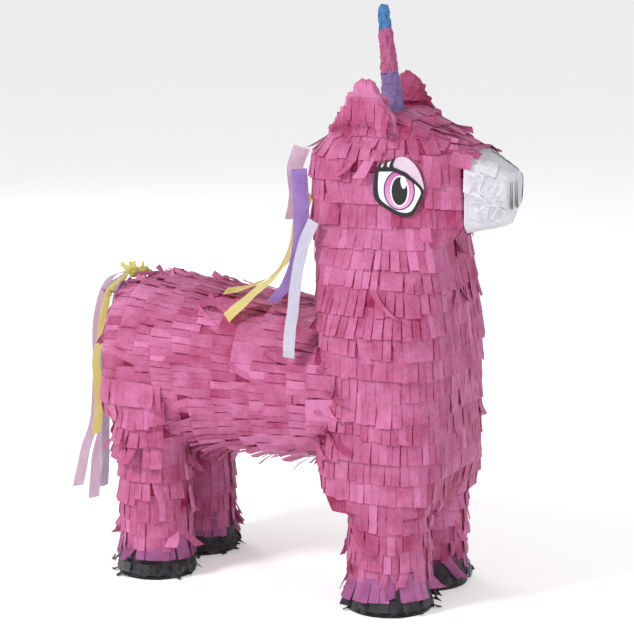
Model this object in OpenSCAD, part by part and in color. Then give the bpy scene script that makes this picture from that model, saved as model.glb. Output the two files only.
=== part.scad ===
/* [Stance] */
// Distance from the hind legs to the front legs
wheelbase = 253; // [240:1:256]
// Distance of the front legs ahead of the origin
front_leg_x = 131; // [128:1:134]
// Half the distance between the left and the right legs
leg_y = 44; // [44:0.5:45]
// Radius of a front leg's rolled card tube
front_leg_r = 37.5; // [36:0.5:38]
// Radius of a hind leg's rolled card tube
hind_leg_r = 35; // [33:0.5:36]
// Height of the black tissue hoof
hoof_h = 20; // [14:1:24]
// Top of the mauve band above the hoof
ankle_top = 36; // [30:1:40]

/* [Body] */
// Height of the chest's lower edge
chest_bottom = 96; // [92:1:100]
// Height where the head sits on the neck
neck_top = 350; // [346:1:354]
// Half width of the card barrel
barrel_half_w = 81; // [79:0.5:81.5]
// Height of the barrel's card belly
belly_z = 132; // [130:1:136]
// Height of the barrel's card back at the neck
back_front_z = 271; // [268:1:275]
// Height of the barrel's card back at the rump
back_rear_z = 286; // [283:1:290]
// Place of the rump's rear card face
rump_x = -167; // [-170:1:-164]
// Place of the chest's rear card face
chest_back_x = 62; // [60:1:64]
// Place of the chest's front card face
chest_front_x = 182; // [178:1:184]

/* [Paper] */
// Thickness of the corrugated card
card = 3; // [2:0.5:4]
// Depth of a layered fringe of tissue strips
fringe = 4; // [3:0.5:4]
// Height of one row of fringe
row_h = 19.5; // [18:0.5:21]
// Thickness of a modelled tissue ribbon
ribbon_t = 0.8; // [0.6:0.1:1]
// Width of a tissue ribbon
ribbon_w = 15; // [12:1:16]

/* [Fill flap] */
// Length of the fill flap along the back
flap_len = 88; // [70:1:92]
// Width of the fill flap
flap_w = 68; // [60:1:70]
// Place of the flap's middle
flap_x = -80; // [-82:1:-78]
// Cut left between the flap and its opening
cut = 0.6; // [0.4:0.1:1]

/* [Hanger] */
// Radius of the two cord holes in the hanger plate
cord_hole_r = 3; // [2:0.5:4]
// Distance between the two cord holes
cord_hole_gap = 36; // [30:1:38]
// Place of the hanger plate's middle
hanger_x = 0; // [-2:1:2]

/* [Horn] */
// Height of the horn's tip
horn_top = 560; // [550:1:565]
// Radius of the card horn at its base
horn_r = 9.8; // [9:0.2:10.4]

/* [Hidden] */
LEGS = ["front_left", "front_right", "hind_left", "hind_right"];
LEG_PIECES = ["leg_tube", "hoof_sole", "leg_fringe", "ankle_band", "hoof_wrap"];

$fn = 48;
HULL_FN = 32;

pink = [0.85, 0.42, 0.64];
card_brown = [0.72, 0.58, 0.42];
mauve = [0.66, 0.36, 0.62];
black_tissue = [0.20, 0.20, 0.21];
white_tissue = [0.93, 0.93, 0.95];
purple = [0.52, 0.37, 0.66];
blue = [0.27, 0.57, 0.82];
yellow = [0.91, 0.87, 0.55];
gold = [0.87, 0.76, 0.36];
lilac = [0.67, 0.55, 0.80];
rose = [0.88, 0.76, 0.84];

skin = 0.2;        // air between two glued layers
plate = 0.4;       // thickness of a section that a hull spans
row_gap = 0.4;     // gap between two rows of fringe
far = 400;         // longer than any part of the body

// ---- plane shapes ----

module round_box(size, r) {
    square([size.x, size.y - 2 * r], center = true);
    square([size.x - 2 * r, size.y], center = true);
    for (sx = [-1, 1], sy = [-1, 1])
        translate([sx * (size.x / 2 - r), sy * (size.y / 2 - r)]) circle(r);
}

// The same box as a polygon, for a section that a hull spans
module hull_box(size, r) {
    corners = [[1, 1], [-1, 1], [-1, -1], [1, -1]];
    polygon([for (i = [0 : 3], a = [0 : 360 / HULL_FN : 90])
        [corners[i].x * (size.x / 2 - r), corners[i].y * (size.y / 2 - r)]
            + r * [cos(90 * i + a), sin(90 * i + a)]]);
}

// A thin upright section across X, of half width hy, from z0 to z1
module plate_x(x, hy, z0, z1, r) {
    translate([x, 0, (z0 + z1) / 2])
        rotate([90, 0, 90])
            linear_extrude(plate, center = true)
                hull_box([2 * hy, z1 - z0], r);
}

// A thin level section from x0 to x1, of half width hy
module plate_z(z, x0, x1, hy, r) {
    translate([(x0 + x1) / 2, 0, z - plate])
        linear_extrude(plate)
            hull_box([x1 - x0, 2 * hy], r);
}

// ---- outer forms of the card body, each grown by g ----

barrel_r = 62;
barrel_end_x = 92;
rump_start = -138;
flank_x = -157;
back_slope = (back_rear_z - back_front_z) / (chest_back_x - rump_start);

function back_z(x) = back_front_z + back_slope * (chest_back_x - x);

module barrel_section(x, g) {
    plate_x(x, barrel_half_w + g, belly_z - g, back_z(x) + g, barrel_r + g);
}

module rump_sections(g) {
    barrel_section(rump_start, g);
    plate_x(flank_x - 0.6 * g, barrel_half_w - 6 + g, belly_z + 5 - g,
            back_rear_z - 5 + g, barrel_r - 6 + g);
    plate_x(rump_x - g, barrel_half_w - 19 + g, belly_z + 18 - g,
            back_rear_z - 17 + g, barrel_r - 20 + g);
}

module barrel_form(g = 0, x0 = rump_start, x1 = barrel_end_x) {
    hull() {
        barrel_section(x0, g);
        barrel_section(x1, g);
    }
}

module rump_form(g = 0) {
    hull() rump_sections(g);
}

// The barrel and the rump as one form
module body_form(g) {
    hull() {
        barrel_section(barrel_end_x, g);
        rump_sections(g);
    }
}

chest_half_w = 82;
chest_r = 40;
brisket_z = 138;
brisket_in = 28;
shoulder_z = 262;

chest_toe = 11;

// An upright box with round corners, cut to the slope of the brisket and of the toe
module chest_form(g = 0) {
    back = chest_back_x - g;
    front = chest_front_x + g;
    intersection() {
        translate([(back + front) / 2, 0, chest_bottom])
            linear_extrude(shoulder_z - chest_bottom)
                round_box([front - back, 2 * (chest_half_w + g)], chest_r + g);
        rotate([90, 0, 0])
            linear_extrude(far, center = true)
                polygon([[back, far], [back, brisket_z], [back + brisket_in, chest_bottom - 1],
                         [front - chest_toe, chest_bottom - 1], [front, brisket_z],
                         [front, far]]);
    }
}

neck_back_x = 50;
neck_front_x = 174;
poll_back_x = 47;
cheek_front_x = 182;
cheek_z = 424;
crown_z = 464;
snout_x = 194;

// Outline of the neck and of the head: wide behind, narrow in front
module head_section(z, x0, x1, g) {
    plate_z(z, x0 - g, 120 + g, 57 + g, 26 + g);
    plate_z(z, 100 - g, x1 + g, 46 + g, 12 + g);
}

module neck_form(g = 0) {
    hull() {
        plate_z(shoulder_z + plate, chest_back_x - g, chest_front_x + g, chest_half_w + g,
                chest_r + g);
        head_section(neck_top, neck_back_x, neck_front_x, g);
    }
}

module head_form(g = 0) {
    hull() {
        head_section(neck_top + plate, neck_back_x, neck_front_x, g);
        head_section(cheek_z, poll_back_x, cheek_front_x, g);
        plate_z(crown_z + g, 84 - g, 130 + g, 41 + g, 12 + g);
        plate_x(snout_x + g, 32 + g, 360 - g, 432 + g, 14 + g);
    }
}

muzzle_back_x = snout_x + fringe + skin;
muzzle_x = 231;

module muzzle_form(g = 0) {
    hull() {
        plate_x(muzzle_back_x, 32 + g, 360 - g, 431 + g, 12 + g);
        plate_x(muzzle_x + g, 19 + g, 384 - g, 411 + g, 8 + g);
        plate_x(muzzle_x - 6 + g, 18 + g, 366 - g, 400 + g, 8 + g);
    }
}

// ---- card barrel ----

panel_y = 48;

module barrel_tube() {
    difference() {
        barrel_form();
        barrel_form(-card, rump_start - 1, barrel_end_x + 1);
        chest_form(skin);
        neck_form(skin);
    }
}

// The fill flap's block, square to the back's slope, grown by g at its edges
module flap_block(g = 0) {
    translate([flap_x, 0, back_z(flap_x)])
        rotate([0, atan(back_slope), 0])
            cube([flap_len + 2 * g, flap_w + 2 * g, 60], center = true);
}

module cord_holes(r) {
    for (side = [-1, 1])
        translate([hanger_x + side * cord_hole_gap / 2, 0, 200]) cylinder(h = 120, r = r);
}

module barrel_back_panel() {
    color(card_brown) difference() {
        intersection() {
            barrel_tube();
            translate([-far, -panel_y, 200]) cube([2 * far, 2 * panel_y, 200]);
        }
        flap_block(cut);
        cord_holes(cord_hole_r + 2);
    }
}

module barrel_belly_panel() {
    color(card_brown) intersection() {
        barrel_tube();
        translate([-far, -panel_y, 0]) cube([2 * far, 2 * panel_y, 200]);
    }
}

module barrel_side_panel(side) {
    color(card_brown) intersection() {
        barrel_tube();
        translate([0, side * (panel_y + 50), 200]) cube([2 * far, 100, far], center = true);
    }
}

module barrel_front_wall() {
    color(card_brown) difference() {
        intersection() {
            barrel_form(-card - skin);
            translate([chest_back_x - skin - card, -far / 2, 0]) cube([card, far, far]);
        }
        neck_form(skin);
    }
}

module rump_shell() {
    color(card_brown) difference() {
        rump_form();
        translate([skin, 0, 0]) rump_form(-card);
        translate([rump_start - plate, -far / 2, 0]) cube([10, far, far]);
    }
}

module hanger_plate() {
    size = [60, 50, 4];
    color("sienna") difference() {
        translate([hanger_x, 0, back_z(hanger_x + size.x / 2) - card - skin - size.z / 2])
            cube(size, center = true);
        cord_holes(cord_hole_r);
    }
}

module fill_flap() {
    color(card_brown) intersection() {
        barrel_tube();
        flap_block();
    }
}

// ---- card chest, neck and head ----

module chest_shell() {
    color(card_brown) difference() {
        chest_form();
        translate([0, 0, card]) chest_form(-card);
    }
}

module neck_shell() {
    color(card_brown) difference() {
        neck_form();
        neck_form(-card);
    }
}

module head_shell() {
    color(card_brown) difference() {
        head_form();
        head_form(-card);
        horn_core(0);
    }
}

module muzzle_box() {
    color(card_brown) difference() {
        muzzle_form();
        muzzle_form(-card);
    }
}

// ---- horn ----

horn_base = [113, 0, 456];
horn_lean = -6.5;
horn_len = (horn_top - horn_base.z) / cos(horn_lean);
purple_end = 0.42;
pink_end = 0.8;
cone_end = 0.92;
wrap = 1.2;

// Radius of the card horn at a share of its length
function horn_radius(share) =
    horn_r * lookup(share, [[0, 1], [purple_end, 0.66], [pink_end, 0.44], [1, 0.34]]);

module horn_part(from, to, g) {
    translate(horn_base) rotate([0, horn_lean, 0]) translate([0, 0, horn_len * from])
        cylinder(h = horn_len * (to - from), r1 = horn_radius(from) + g,
                 r2 = horn_radius(to) + g);
}

module horn_core(g) {
    horn_part(0, purple_end, g);
    horn_part(purple_end, pink_end, g);
    horn_part(pink_end, cone_end, g);
}

module horn_cone() {
    color(card_brown) difference() {
        horn_core(0);
        horn_part(0, purple_end, -1.5);
    }
}

module horn_sleeve(from, to) {
    difference() {
        horn_part(from, to, wrap);
        horn_core(0);
    }
}

module horn_wrap_purple() {
    color(purple) difference() {
        horn_sleeve(0, purple_end);
        head_form();
    }
}

module horn_wrap_pink() {
    color(pink) horn_sleeve(purple_end, pink_end);
}

module horn_wrap_blue() {
    color(blue) horn_sleeve(pink_end, 1);
}

// ---- ears ----

ear_y = 46;

module ear_plate(side, t, g) {
    translate([0, side * ear_y, 0])
        rotate([90, 0, 0])
            linear_extrude(t, center = true)
                hull() {
                    translate([80, 451]) circle(5 + g);
                    translate([130, 455]) circle(5 + g);
                    translate([105, 485]) circle(8 + g);
                }
}

module ear_card(side) {
    color(card_brown) difference() {
        ear_plate(side, card, 0);
        head_form(skin);
    }
}

module ear_wrap(side) {
    color(pink) difference() {
        ear_plate(side, card + 5, 2.5);
        ear_plate(side, card + 2 * skin, skin);
        head_form(fringe + skin);
    }
}

// ---- tissue fringe on the barrel ----

barrel_rows = 11;

module barrel_skin() {
    difference() {
        barrel_form(fringe);
        barrel_form(skin, rump_start - 1, barrel_end_x + 1);
        chest_form(fringe + skin);
        neck_form(fringe + skin);
    }
}

module barrel_row_cuts() {
    pitch = (chest_back_x - rump_start) / barrel_rows;
    for (i = [1 : barrel_rows])
        translate([rump_start + i * pitch, -far / 2, 0]) cube([row_gap, far, far]);
}

module leg_bars(g) {
    for (leg = LEGS)
        leg_place(leg) cylinder(h = 190, r = leg_r(leg) + g);
}

module barrel_fringe() {
    color(pink) difference() {
        barrel_skin();
        barrel_row_cuts();
        flap_block(cut);
        cord_holes(cord_hole_r + 2);
        leg_bars(fringe + skin);
    }
}

module flap_fringe() {
    color(pink) difference() {
        intersection() {
            barrel_skin();
            flap_block();
        }
        barrel_row_cuts();
    }
}

// ---- level rows of fringe ----

module level_cuts(z0, z1, pitch) {
    for (z = [z0 : pitch : z1])
        translate([-far, -far / 2, z]) cube([2 * far, far, row_gap]);
}

module rump_fringe() {
    color(pink) difference() {
        rump_form(fringe);
        rump_form(skin);
        translate([rump_start - plate, -far / 2, 0]) cube([10, far, far]);
        level_cuts(belly_z + row_h, back_rear_z - 10, row_h);
        leg_bars(fringe + skin);
    }
}

module chest_fringe() {
    color(pink) difference() {
        chest_form(fringe);
        chest_form(skin);
        barrel_form(skin);
        level_cuts(chest_bottom + row_h, shoulder_z - 5, row_h);
    }
}

module neck_fringe() {
    color(pink) difference() {
        neck_form(fringe);
        neck_form(skin);
        barrel_form(skin);
        level_cuts(shoulder_z, shoulder_z, row_h);
        level_cuts(shoulder_z + row_h, neck_top - 5, row_h);
    }
}

module head_fringe() {
    pitch = row_h - 3;
    color(pink) difference() {
        head_form(fringe);
        head_form(skin);
        level_cuts(neck_top - plate, neck_top, row_h);
        translate([snout_x, -far / 2, 0]) cube([100, far, 600]);
        level_cuts(neck_top + pitch, crown_z - 8, pitch);
        horn_core(wrap + skin);
        for (side = [-1, 1]) ear_plate(side, card + 2 * skin, skin);
    }
}

module muzzle_wrap() {
    color(white_tissue) difference() {
        muzzle_form(1.5);
        muzzle_form(skin);
    }
}

// ---- eyes ----

eye_at = [144, 54.9, 401];
eye_turn = 7.6;

module eye_sticker(side) {
    color(white_tissue) mirror([0, side < 0 ? 1 : 0, 0])
        translate(eye_at) rotate([90, 0, 180 - eye_turn])
            linear_extrude(0.8) polygon([for (a = [0 : 10 : 350]) [25 * cos(a), 27 * sin(a)]]);
}

// ---- legs ----

sole_t = 3;

function leg_x(leg) = leg[0] == "f" ? front_leg_x : front_leg_x - wheelbase;
function leg_r(leg) = leg[0] == "f" ? front_leg_r : hind_leg_r;
function leg_side(leg) = leg[len(leg) - 4] == "l" ? 1 : -1;
function leg_top(leg) = leg[0] == "f" ? chest_bottom : belly_z + barrel_r;

module leg_place(leg) {
    translate([leg_x(leg), leg_side(leg) * leg_y, 0]) children();
}

module leg_tube(leg) {
    color(card_brown) difference() {
        leg_place(leg) translate([0, 0, sole_t]) difference() {
            cylinder(h = leg_top(leg) - sole_t, r = leg_r(leg));
            translate([0, 0, -1]) cylinder(h = far, r = leg_r(leg) - card);
        }
        if (leg[0] == "h") body_form(skin);
    }
}

module hoof_sole(leg) {
    color(black_tissue) leg_place(leg) cylinder(h = sole_t, r = leg_r(leg) + 3);
}

module sleeve(leg, z0, z1, g) {
    translate([0, 0, z0]) difference() {
        cylinder(h = z1 - z0, r = leg_r(leg) + g);
        translate([0, 0, -1]) cylinder(h = z1 - z0 + 2, r = leg_r(leg) + skin);
    }
}

module leg_fringe(leg) {
    pitch = row_h + row_gap;
    color(pink) difference() {
        leg_place(leg)
            for (z = [ankle_top : pitch : leg_top(leg) - 1])
                sleeve(leg, z, min(z + row_h, leg_top(leg)), fringe);
        if (leg[0] == "h") body_form(fringe + skin);
    }
}

module ankle_band(leg) {
    color(mauve) leg_place(leg) sleeve(leg, hoof_h, ankle_top - row_gap, fringe);
}

module hoof_wrap(leg) {
    color(black_tissue) leg_place(leg) sleeve(leg, sole_t, hoof_h - row_gap, 5);
}

// ---- ribbons ----

function unit(v) = v / norm(v);

// A point of the smooth curve through the points p, at t from 0 to len(p) - 1
function on_curve(p, t) =
    let (
        i = min(floor(t), len(p) - 2),
        u = t - i,
        a = p[max(i - 1, 0)],
        b = p[i],
        c = p[i + 1],
        d = p[min(i + 2, len(p) - 1)]
    )
    b + u * (c - a) / 2 + u * u * (a - 2.5 * b + 2 * c - d / 2)
        + u * u * u * (1.5 * (b - c) + (d - a) / 2);

// A ribbon along a route. Its width lies along from at the start and along to at the end.
module ribbon(route, from, to, w = ribbon_w) {
    steps = 3;
    n = (len(route) - 1) * steps;
    line = [for (i = [0 : n]) on_curve(route, i / steps)];
    along = [for (i = [0 : n]) unit(line[min(i + 1, n)] - line[max(i - 1, 0)])];
    across = [for (i = [0 : n])
        let (v = from + (to - from) * i / n)
        unit(v - along[i] * (v * along[i]))];
    points = [for (i = [0 : n])
        let (
            wide = across[i] * w / 2,
            thick = cross(along[i], across[i]) * ribbon_t / 2
        )
        each [line[i] - wide - thick, line[i] + wide - thick,
              line[i] + wide + thick, line[i] - wide + thick]];
    walls = [for (i = [0 : n - 1], k = [0 : 3])
        let (a = 4 * i + k, b = 4 * i + (k + 1) % 4)
        each [[a, b, b + 4], [a, b + 4, a + 4]]];
    ends = [[3, 2, 1, 0], [4 * n, 4 * n + 1, 4 * n + 2, 4 * n + 3]];
    polyhedron(points, concat(walls, ends));
}

module mane_ribbon_yellow() {
    color(yellow) ribbon([[42, -44, 388], [36, -46, 362], [28, -47, 332], [16, -48, 310],
        [-2, -52, 295], [-17, -60, 280], [-30, -66.5, 267]], [0, -1, 0], [0.66, -0.58, -0.46]);
}

module mane_ribbon_gold() {
    color(gold) ribbon([[37, -26, 384], [28, -27, 356], [19, -27, 328], [4, -28, 307],
        [-16, -29, 295], [-35, -30, 288], [-50, -31, 285]], [0, -1, 0], [0.1, -0.95, -0.3]);
}

module mane_ribbon_lilac() {
    color(lilac) ribbon([[39, -56, 412], [41, -60, 384], [42, -63, 352], [39, -66, 328],
        [29, -67, 306], [12, -68, 287]], [0.25, -1, 0], [0.4, -0.9, -0.2]);
}

module mane_ribbon_pink() {
    color(rose) ribbon([[37, -40, 430], [31, -42, 410], [33, -43, 385], [28, -43, 362]],
        [0.1, -1, 0], [0.4, -1, 0.1], 16);
}

module mane_ribbon_white() {
    color(white_tissue) ribbon([[62, -66.5, 366], [53, -70, 342], [49, -76, 312], [49, -83, 284],
        [48, -88, 262], [47, -88.2, 240]], [1, 0, 0.3], [1, 0, 0], 12);
}

tail_knot_at = [-164, 0, back_rear_z + 4];

module tail_knot() {
    color(lilac) translate(tail_knot_at) hull()
        for (side = [-1, 1]) translate([side * 2, side * 9, 0]) sphere(4, $fn = 24);
}

// A tail ribbon's route is given from the knot
module tail_ribbon(route, to, w = ribbon_w) {
    translate(tail_knot_at) ribbon(route, [0, 1, 0], to, w);
}

module tail_ribbon_yellow() {
    color(yellow) tail_ribbon([[-4, -16, -1], [-13, -31, -12], [-18, -37, -30], [-23, -38, -62],
        [-28, -39, -88], [-25, -40, -124], [-28, -41, -160]], [0.1, 1, 0]);
}

module tail_ribbon_pink() {
    color(rose) tail_ribbon([[-7, -3, 1], [-30, -6, -8], [-44, -8, -45], [-46, -8, -100],
        [-49, -9, -150], [-60, -12, -188], [-68, -14, -226]], [0.3, 1, 0]);
}

module tail_ribbon_rose() {
    color(rose) tail_ribbon([[-6, 13, -1], [-26, 12, -10], [-35, 9, -45], [-40, 7, -100],
        [-47, 5, -158], [-56, 3, -200], [-60, 3, -242]], [0.3, 1, 0]);
}

module tail_ribbon_lilac() {
    color(lilac) tail_ribbon([[-5, -7, -6], [-12, -12, -14], [-14, -17, -30],
        [-14, -21, -52], [-14, -23, -82]], [0.2, 1, 0]);
}

module tail_ribbon_white() {
    color(white_tissue) tail_ribbon([[-8, -10, 0], [-24, -17, -13], [-30, -19, -42],
        [-31, -20, -100], [-30, -20, -160], [-33, -20, -220]], [0.2, 1, 0], 12);
}

// ---- one line for each node ----

barrel_back_panel();
barrel_belly_panel();
barrel_side_panel(1);  // barrel_left_panel
barrel_side_panel(-1);  // barrel_right_panel
barrel_front_wall();
rump_shell();
chest_shell();
neck_shell();
head_shell();
muzzle_box();
horn_cone();
ear_card(1);  // left_ear_card
ear_card(-1);  // right_ear_card
hanger_plate();
fill_flap();
flap_fringe();
barrel_fringe();
rump_fringe();
chest_fringe();
neck_fringe();
head_fringe();
muzzle_wrap();
ear_wrap(1);  // left_ear_wrap
ear_wrap(-1);  // right_ear_wrap
eye_sticker(1);  // left_eye_sticker
eye_sticker(-1);  // right_eye_sticker
horn_wrap_purple();
horn_wrap_pink();
horn_wrap_blue();
mane_ribbon_yellow();
mane_ribbon_gold();
mane_ribbon_lilac();
mane_ribbon_pink();
mane_ribbon_white();
tail_knot();
tail_ribbon_yellow();
tail_ribbon_pink();
tail_ribbon_rose();
tail_ribbon_lilac();
tail_ribbon_white();
for (leg = LEGS) {
    leg_tube(leg);
    hoof_sole(leg);
    leg_fringe(leg);
    ankle_band(leg);
    hoof_wrap(leg);
}
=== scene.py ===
"""A unicorn pinata: card shapes covered in layered tissue paper fringe, with tissue ribbons."""

import math

import bmesh
import bpy
import numpy as np
from mathutils import Matrix, Vector
from mathutils.bvhtree import BVHTree


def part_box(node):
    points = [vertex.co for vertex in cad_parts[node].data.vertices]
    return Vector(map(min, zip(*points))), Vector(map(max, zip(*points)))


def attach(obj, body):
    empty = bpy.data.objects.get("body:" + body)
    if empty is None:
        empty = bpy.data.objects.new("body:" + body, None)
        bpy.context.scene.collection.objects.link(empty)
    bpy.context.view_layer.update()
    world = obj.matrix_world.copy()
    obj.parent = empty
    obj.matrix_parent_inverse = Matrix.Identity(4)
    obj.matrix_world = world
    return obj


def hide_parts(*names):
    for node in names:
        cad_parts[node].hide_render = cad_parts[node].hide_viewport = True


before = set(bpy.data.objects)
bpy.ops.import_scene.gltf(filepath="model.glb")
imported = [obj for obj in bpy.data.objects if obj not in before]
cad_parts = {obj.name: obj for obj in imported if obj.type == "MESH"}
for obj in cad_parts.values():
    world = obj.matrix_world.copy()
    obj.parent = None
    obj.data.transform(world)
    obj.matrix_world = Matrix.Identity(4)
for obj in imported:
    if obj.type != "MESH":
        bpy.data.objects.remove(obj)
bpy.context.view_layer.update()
rng = np.random.default_rng(11)

MM = 0.001
ROW = 19.5 * MM          # height of one row of fringe
STRIP = 7.7 * MM         # width of one strip of fringe
FLAT_TURN = 2 * math.pi
SIDES = {"left": 1, "right": -1}

# ---- materials


def node(tree, kind, **values):
    """A shader node, with its sockets or its own settings set by name"""
    made = tree.nodes.new(kind)
    for name, value in values.items():
        label = name.replace("_", " ")
        if label in made.inputs:
            made.inputs[label].default_value = value
        else:
            setattr(made, name, value)
    return made


def ramp(tree, low, low_colour, high, high_colour):
    """Runs from one screen colour, at low, to another, at high"""
    made = tree.nodes.new("ShaderNodeValToRGB")
    for end, place, colour in zip(made.color_ramp.elements, (low, high), (low_colour, high_colour)):
        end.position, end.color = place, linear(colour)
    return made


def linear(colour):
    """A screen colour, 0 to 255, as the linear colour that a shader takes"""
    parts = [c / 255 for c in colour]
    parts = [c / 12.92 if c <= 0.04045 else ((c + 0.055) / 1.055) ** 2.4 for c in parts]
    return (*parts, 1.0)


def blank_material(name):
    """A material with an empty node tree"""
    made = bpy.data.materials.new(name)
    made.use_nodes = True
    made.node_tree.nodes.clear()
    return made, made.node_tree


def noise(tree, vector, **settings):
    made = node(tree, "ShaderNodeTexNoise", **settings)
    tree.links.new(vector, made.inputs["Vector"])
    return made.outputs["Fac"]


def multiply_add(tree, value, share, more):
    """The socket for value * share + more, where value and more are sockets"""
    made = node(tree, "ShaderNodeMath", operation="MULTIPLY_ADD")
    tree.links.new(value, made.inputs[0])
    made.inputs[1].default_value = share
    tree.links.new(more, made.inputs[2])
    return made.outputs[0]


def show(tree, shader):
    out = node(tree, "ShaderNodeOutputMaterial")
    tree.links.new(shader.outputs[0], out.inputs["Surface"])


def tissue(name, dark, light, roughness=0.5, through=0.25, crease=0.55, fibre=0.5, sheen=0.05,
           grain=(1.0, 1.0, 0.12), folded=110.0):
    """Crinkled tissue paper: each strip takes its own tone, fibres and creases raise its surface"""
    made, tree = blank_material(name)
    link = tree.links.new
    place = node(tree, "ShaderNodeTexCoord").outputs["Object"]
    drawn_out = node(tree, "ShaderNodeMapping", Scale=grain)
    link(place, drawn_out.inputs["Vector"])
    tone = node(tree, "ShaderNodeAttribute", attribute_name="tone")
    blotch = noise(tree, place, Scale=38.0, Detail=4.0, Roughness=0.6)
    fibres = noise(tree, drawn_out.outputs["Vector"], Scale=620.0, Detail=3.0, Roughness=0.7)
    folds = noise(tree, place, Scale=folded, Detail=5.0, Roughness=0.6, Distortion=1.5)
    colour = ramp(tree, 0.45, dark, 1.0, light)
    mixed = multiply_add(tree, blotch, 0.7, tone.outputs["Fac"])
    link(multiply_add(tree, fibres, 0.3, mixed), colour.inputs["Fac"])
    bump = node(tree, "ShaderNodeBump", Strength=crease, Distance=0.005)
    link(multiply_add(tree, fibres, fibre, folds), bump.inputs["Height"])
    paper = node(tree, "ShaderNodeBsdfPrincipled", Roughness=roughness, Sheen_Weight=sheen,
                 Sheen_Roughness=0.4, Specular_IOR_Level=0.3)
    lit = node(tree, "ShaderNodeBsdfTranslucent")
    for shader, socket in ((paper, "Base Color"), (lit, "Color")):
        link(colour.outputs["Color"], shader.inputs[socket])
        link(bump.outputs["Normal"], shader.inputs["Normal"])
    both = node(tree, "ShaderNodeMixShader", Fac=through)
    link(paper.outputs[0], both.inputs[1])
    link(lit.outputs[0], both.inputs[2])
    show(tree, both)
    return made


def printed_look(tree, shade, roughness):
    """A paper shader in a ramp's colours, shown by its material"""
    paper = node(tree, "ShaderNodeBsdfPrincipled", Roughness=roughness)
    tree.links.new(shade.outputs["Color"], paper.inputs["Base Color"])
    show(tree, paper)
    return paper


def plain(name, colour, second, roughness=0.5, scale=60.0, bump_height=0.0004):
    """A surface of two close colours, mottled, with a fine grain"""
    made, tree = blank_material(name)
    grain = noise(tree, node(tree, "ShaderNodeTexCoord").outputs["Object"], Scale=scale, Detail=6.0,
                  Roughness=0.65)
    shade = ramp(tree, 0.3, colour, 0.7, second)
    bump = node(tree, "ShaderNodeBump", Strength=0.4, Distance=bump_height)
    tree.links.new(grain, shade.inputs["Fac"])
    tree.links.new(grain, bump.inputs["Height"])
    paper = printed_look(tree, shade, roughness)
    tree.links.new(bump.outputs["Normal"], paper.inputs["Normal"])
    return made


def faded(name, inner, outer, centre, size):
    """A printed colour that runs from inner to outer, upwards through a centre, over a size each way"""
    made, tree = blank_material(name)
    apart = node(tree, "ShaderNodeSeparateXYZ")
    share = node(tree, "ShaderNodeMapRange", From_Min=centre - size, From_Max=centre + size)
    shade = ramp(tree, 0.0, inner, 1.0, outer)
    tree.links.new(node(tree, "ShaderNodeTexCoord").outputs["Object"], apart.inputs[0])
    tree.links.new(apart.outputs["Z"], share.inputs["Value"])
    tree.links.new(share.outputs["Result"], shade.inputs["Fac"])
    printed_look(tree, shade, 0.42)
    return made


# The dark end of each tissue's ramp is the colour that the painted shade at cut edges and on the
# under-layer runs towards; the pink's is a deep crimson
PINK_TONES = (160, 8, 74), (224, 134, 184)
PINK = tissue("pink_tissue", *PINK_TONES)
PINK_ALONG = tissue("pink_tissue_along", *PINK_TONES, grain=(0.12, 1.0, 1.0))
MAUVE = tissue("mauve_tissue", (116, 36, 98), (196, 116, 170))
BLACK = tissue("black_tissue", (14, 13, 16), (86, 83, 89), roughness=0.42, through=0.03,
               crease=1.0, sheen=0.1, grain=(1, 1, 1), folded=55.0)
WHITE = tissue("white_tissue", (186, 186, 195), (220, 220, 226), through=0.1, crease=0.3,
               fibre=0.15)
PURPLE = tissue("purple_tissue", (88, 56, 136), (186, 158, 222), crease=1.0)
MAGENTA = tissue("magenta_tissue", (160, 40, 104), (226, 132, 178), crease=1.0)
BLUE = tissue("blue_tissue", (20, 78, 152), (108, 176, 232), crease=1.0)
YELLOW = tissue("yellow_ribbon", (222, 212, 112), (240, 234, 158), crease=0.3, through=0.45)
GOLD = tissue("gold_ribbon", (218, 200, 92), (236, 222, 132), crease=0.3, through=0.45)
LILAC = tissue("lilac_ribbon", (122, 88, 168), (172, 144, 210), crease=0.3, through=0.35)
ROSE = tissue("pale_pink_ribbon", (198, 158, 188), (226, 200, 218), crease=0.3, through=0.45)
PALE = tissue("white_ribbon", (178, 180, 200), (208, 209, 222), crease=0.3, through=0.3)
CARD = plain("corrugated_card", (150, 112, 74), (178, 140, 98), roughness=0.85, scale=300.0)
INK = plain("black_ink", (10, 9, 12), (18, 16, 20), roughness=0.4)
SCLERA = plain("white_print", (214, 220, 228), (226, 228, 232), roughness=0.4)
LID = plain("pale_print", (196, 174, 190), (206, 188, 202), roughness=0.42)

# ---- mesh building


def piece(mesh, material, body):
    """Puts a mesh in the scene as a piece of that name, which rides on a body"""
    mesh.materials.append(material)
    made = bpy.data.objects.new(mesh.name, mesh)
    bpy.context.scene.collection.objects.link(made)
    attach(made, body)
    return made


def flat_print(name, points, material):
    """One flat printed shape on the body, from its outline"""
    mesh = bpy.data.meshes.new(name)
    mesh.from_pydata([tuple(p) for p in points], [], [list(range(len(points)))])
    return piece(mesh, material, "body")


def set_tones(mesh, tones):
    tone = mesh.attributes.new("tone", "FLOAT", "POINT")
    tone.data.foreach_set("value", tones.astype(np.float32))


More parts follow.
